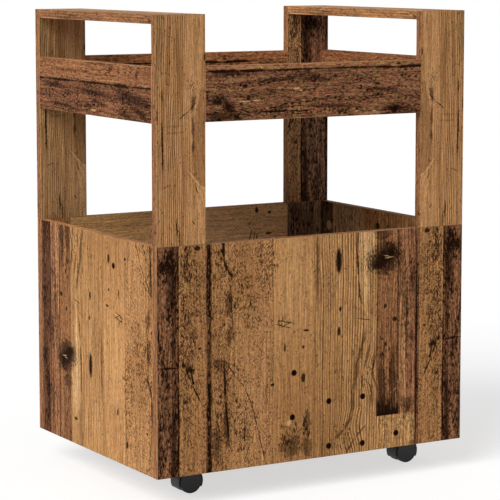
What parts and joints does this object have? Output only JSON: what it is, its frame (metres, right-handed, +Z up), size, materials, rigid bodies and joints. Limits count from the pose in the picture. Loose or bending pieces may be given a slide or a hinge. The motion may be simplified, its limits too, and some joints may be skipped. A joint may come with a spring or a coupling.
{
  "type": "kitchen cart",
  "caption": "Wooden kitchen cart on swivel casters: an open bin below, uprights that carry a shallow tray, and flat handle rails across the top.",
  "frame": {"origin": "on the floor, under the middle of the cart", "axes": "+Z up, -Y towards the front of the cart, +X towards its right side as seen from the front"},
  "size_m": [0.6, 0.45, 0.8],
  "materials": {
    "wall_laminate": "satin printed old-wood laminate, mixed planks",
    "upright_laminate": "satin printed old-wood laminate, light pine",
    "tray_laminate": "satin printed old-wood laminate, dark weathered",
    "floor_laminate": "satin printed old-wood laminate, brown",
    "beech": "raw turned beech",
    "zinc": "die-cast zinc",
    "steel": "zinc-plated steel",
    "cap_plastic": "matt brown",
    "black_nylon": "satin moulded black"
  },
  "bodies": {
    "cart": {"front_panel": "wall_laminate", "back_panel": "wall_laminate", "left_side_panel": "wall_laminate", "right_side_panel": "wall_laminate", "bottom_panel": "floor_laminate", "front_left_upright": "upright_laminate", "front_right_upright": "upright_laminate", "back_left_upright": "upright_laminate", "back_right_upright": "upright_laminate", "left_handle_rail": "upright_laminate", "right_handle_rail": "upright_laminate", "tray_front_board": "tray_laminate", "tray_back_board": "tray_laminate", "tray_left_board": "tray_laminate", "tray_right_board": "tray_laminate", "tray_floor": "floor_laminate", "cams": "zinc", "cam_bolts": "steel", "cam_cover_caps": "cap_plastic", "wood_dowels": "beech", "caster_screws": "steel", "front_left_caster_plate": "steel", "front_left_swivel_pin": "steel", "front_left_pin_ring": "steel", "front_right_caster_plate": "steel", "front_right_swivel_pin": "steel", "front_right_pin_ring": "steel", "back_left_caster_plate": "steel", "back_left_swivel_pin": "steel", "back_left_pin_ring": "steel", "back_right_caster_plate": "steel", "back_right_swivel_pin": "steel", "back_right_pin_ring": "steel"},
    "front_left_swivel": {"front_left_caster_hood": "black_nylon", "front_left_axle": "steel"},
    "front_left_outer_wheel": {"front_left_outer_wheel": "black_nylon"},
    "front_left_inner_wheel": {"front_left_inner_wheel": "black_nylon"},
    "front_right_swivel": {"front_right_caster_hood": "black_nylon", "front_right_axle": "steel"},
    "front_right_outer_wheel": {"front_right_outer_wheel": "black_nylon"},
    "front_right_inner_wheel": {"front_right_inner_wheel": "black_nylon"},
    "back_left_swivel": {"back_left_caster_hood": "black_nylon", "back_left_axle": "steel"},
    "back_left_outer_wheel": {"back_left_outer_wheel": "black_nylon"},
    "back_left_inner_wheel": {"back_left_inner_wheel": "black_nylon"},
    "back_right_swivel": {"back_right_caster_hood": "black_nylon", "back_right_axle": "steel"},
    "back_right_outer_wheel": {"back_right_outer_wheel": "black_nylon"},
    "back_right_inner_wheel": {"back_right_inner_wheel": "black_nylon"}
  },
  "joints": [
    {"name": "front_left_swivel", "type": "hinge", "parent": "cart", "child": "front_left_swivel", "pos_m": [-0.218, -0.133, 0.05], "axis": [0, 0, 1], "continuous": true},
    {"name": "front_left_outer_wheel_roll", "type": "hinge", "parent": "front_left_swivel", "child": "front_left_outer_wheel", "pos_m": [-0.196, -0.133, 0.02], "axis": [0, 1, 0], "continuous": true},
    {"name": "front_left_inner_wheel_roll", "type": "hinge", "parent": "front_left_swivel", "child": "front_left_inner_wheel", "pos_m": [-0.196, -0.133, 0.02], "axis": [0, 1, 0], "continuous": true},
    {"name": "front_right_swivel", "type": "hinge", "parent": "cart", "child": "front_right_swivel", "pos_m": [0.218, -0.133, 0.05], "axis": [0, 0, 1], "continuous": true},
    {"name": "front_right_outer_wheel_roll", "type": "hinge", "parent": "front_right_swivel", "child": "front_right_outer_wheel", "pos_m": [0.24, -0.133, 0.02], "axis": [0, 1, 0], "continuous": true},
    {"name": "front_right_inner_wheel_roll", "type": "hinge", "parent": "front_right_swivel", "child": "front_right_inner_wheel", "pos_m": [0.24, -0.133, 0.02], "axis": [0, 1, 0], "continuous": true},
    {"name": "back_left_swivel", "type": "hinge", "parent": "cart", "child": "back_left_swivel", "pos_m": [-0.218, 0.133, 0.05], "axis": [0, 0, 1], "continuous": true},
    {"name": "back_left_outer_wheel_roll", "type": "hinge", "parent": "back_left_swivel", "child": "back_left_outer_wheel", "pos_m": [-0.196, 0.133, 0.02], "axis": [0, 1, 0], "continuous": true},
    {"name": "back_left_inner_wheel_roll", "type": "hinge", "parent": "back_left_swivel", "child": "back_left_inner_wheel", "pos_m": [-0.196, 0.133, 0.02], "axis": [0, 1, 0], "continuous": true},
    {"name": "back_right_swivel", "type": "hinge", "parent": "cart", "child": "back_right_swivel", "pos_m": [0.218, 0.133, 0.05], "axis": [0, 0, 1], "continuous": true},
    {"name": "back_right_outer_wheel_roll", "type": "hinge", "parent": "back_right_swivel", "child": "back_right_outer_wheel", "pos_m": [0.24, 0.133, 0.02], "axis": [0, 1, 0], "continuous": true},
    {"name": "back_right_inner_wheel_roll", "type": "hinge", "parent": "back_right_swivel", "child": "back_right_inner_wheel", "pos_m": [0.24, 0.133, 0.02], "axis": [0, 1, 0], "continuous": true}
  ]
}
